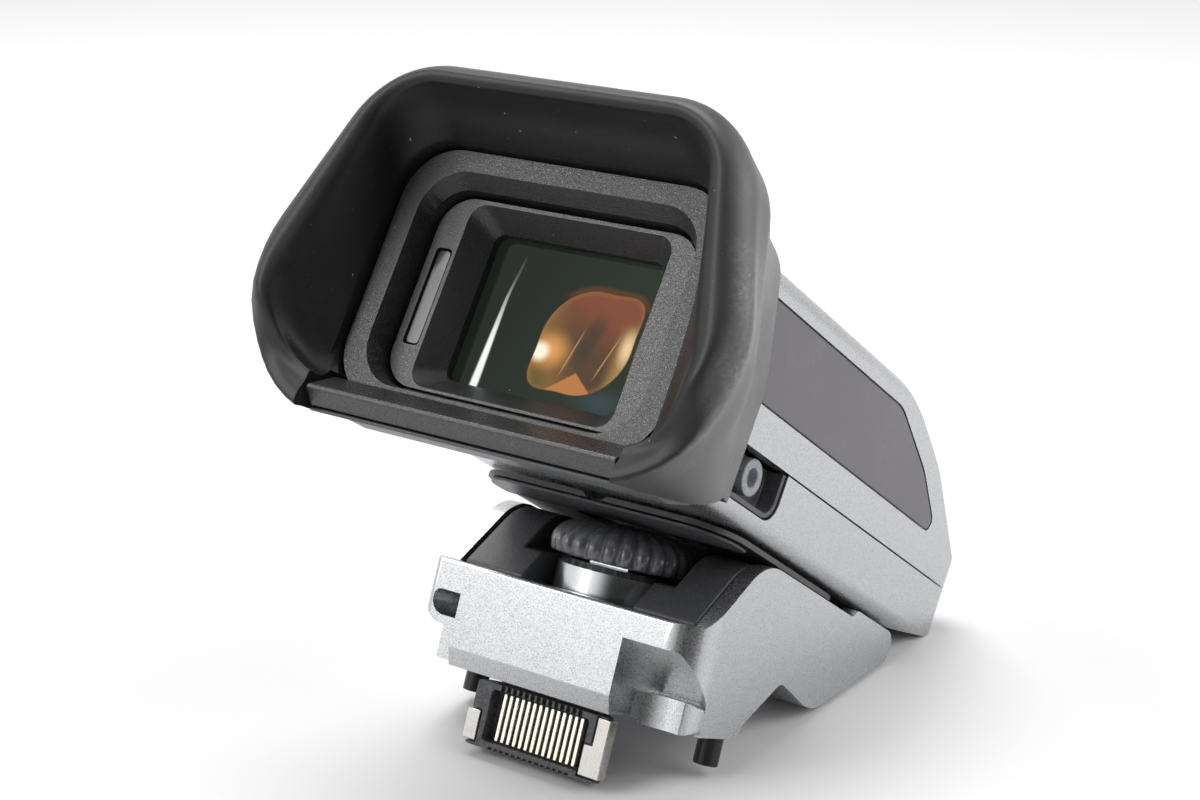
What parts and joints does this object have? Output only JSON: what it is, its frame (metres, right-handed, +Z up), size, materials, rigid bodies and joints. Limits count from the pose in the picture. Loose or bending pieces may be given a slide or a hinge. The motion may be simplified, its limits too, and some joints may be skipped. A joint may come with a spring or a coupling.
{
  "type": "electronic viewfinder",
  "caption": "Tilting clip-on electronic viewfinder: wedge-shaped body with a flared rubber eyecup, hinged on a base with a ribbed fastening wheel, locating pins and a plug-in connector.",
  "frame": {"origin": "on the table, under the middle of the bounding box; the object lies as in the picture, tipped on its connector and on the lower front edge of its body", "axes": "+X to the right as seen from the eyepiece, +Y from the eyepiece towards the front of the body, +Z up from the table"},
  "size_m": [0.0454, 0.0574, 0.056],
  "materials": {
    "silver_paint": "fine metallic silver, satin",
    "grey_panel": "smooth dark grey, left bare",
    "black_plastic": "finely grained black",
    "rubber": "matte",
    "dark_glass": "polished, dark green coating",
    "lens_glass": "polished, coated",
    "steel": "turned and brushed",
    "gold": "plated",
    "board": "solder mask",
    "flex": "translucent film"
  },
  "bodies": {
    "base": {"base_casting": "silver_paint", "base_liner": "black_plastic", "plug_housing": "black_plastic", "contact_01": "gold", "contact_02": "gold", "contact_03": "gold", "contact_04": "gold", "contact_05": "gold", "contact_06": "gold", "contact_07": "gold", "contact_08": "gold", "contact_09": "gold", "contact_10": "gold", "contact_11": "gold", "contact_12": "gold", "contact_13": "gold", "contact_14": "gold", "shield_left": "steel", "shield_right": "steel", "plug_board": "board", "locating_pin_left": "steel", "locating_pin_right": "steel", "hinge_shaft": "steel", "hinge_bracket_left": "steel", "hinge_bracket_right": "steel", "bracket_screw_left": "steel", "bracket_screw_right": "steel", "base_flex": "flex"},
    "finder": {"upper_shell": "silver_paint", "lower_shell": "silver_paint", "side_panel_right": "grey_panel", "side_panel_left": "grey_panel", "bottom_plate": "black_plastic", "info_plate": "black_plastic", "eyepiece_bezel": "black_plastic", "inner_frame": "black_plastic", "eyepiece_window": "dark_glass", "sensor_window": "dark_glass", "sensor_board": "board", "eyecup": "rubber", "eyecup_bar": "black_plastic", "bar_trim": "black_plastic", "guide_rod_left": "steel", "guide_rod_right": "steel", "display_holder": "black_plastic", "display_panel": "dark_glass", "main_board": "board", "dioptre_cup": "black_plastic", "hinge_knuckle": "steel", "leaf_screw_left": "steel", "leaf_screw_right": "steel", "finder_flex": "flex"},
    "wheel": {"thumb_wheel": "black_plastic", "wheel_collar": "steel", "retaining_clip": "steel"},
    "screw": {"fastening_screw": "steel"},
    "dioptre": {"dioptre_spindle": "steel"},
    "carriage": {"lens_carriage": "black_plastic", "eye_lens": "lens_glass", "field_lens": "lens_glass"}
  },
  "joints": [
    {"name": "finder_tilt", "type": "hinge", "parent": "base", "child": "finder", "pos_m": [0, 0.01579, 0.00208], "axis": [-1, 0, 0], "range_deg": [0, 90]},
    {"name": "wheel_turn", "type": "hinge", "parent": "base", "child": "wheel", "pos_m": [0, -0.00517, 0.01535], "axis": [0, -0.3956, -0.9184], "range_deg": [0, 900]},
    {"name": "screw_travel", "type": "slide", "parent": "wheel", "child": "screw", "axis": [0, -0.3956, -0.9184], "range_m": [0, 0.00112]},
    {"name": "dioptre_turn", "type": "hinge", "parent": "finder", "child": "dioptre", "pos_m": [0.0134, -0.00609, 0.02445], "axis": [1, 0, 0], "range_deg": [-60, 60]},
    {"name": "lens_slide", "type": "slide", "parent": "finder", "child": "carriage", "axis": [0, 0.8196, -0.5729], "range_m": [-0.00086, 0.00086]}
  ],
  "couplings": [
    {"joint": "wheel_turn", "follows": "screw_travel", "rad_per_m": 13963},
    {"joint": "dioptre_turn", "follows": "lens_slide", "rad_per_m": 1209.2}
  ]
}
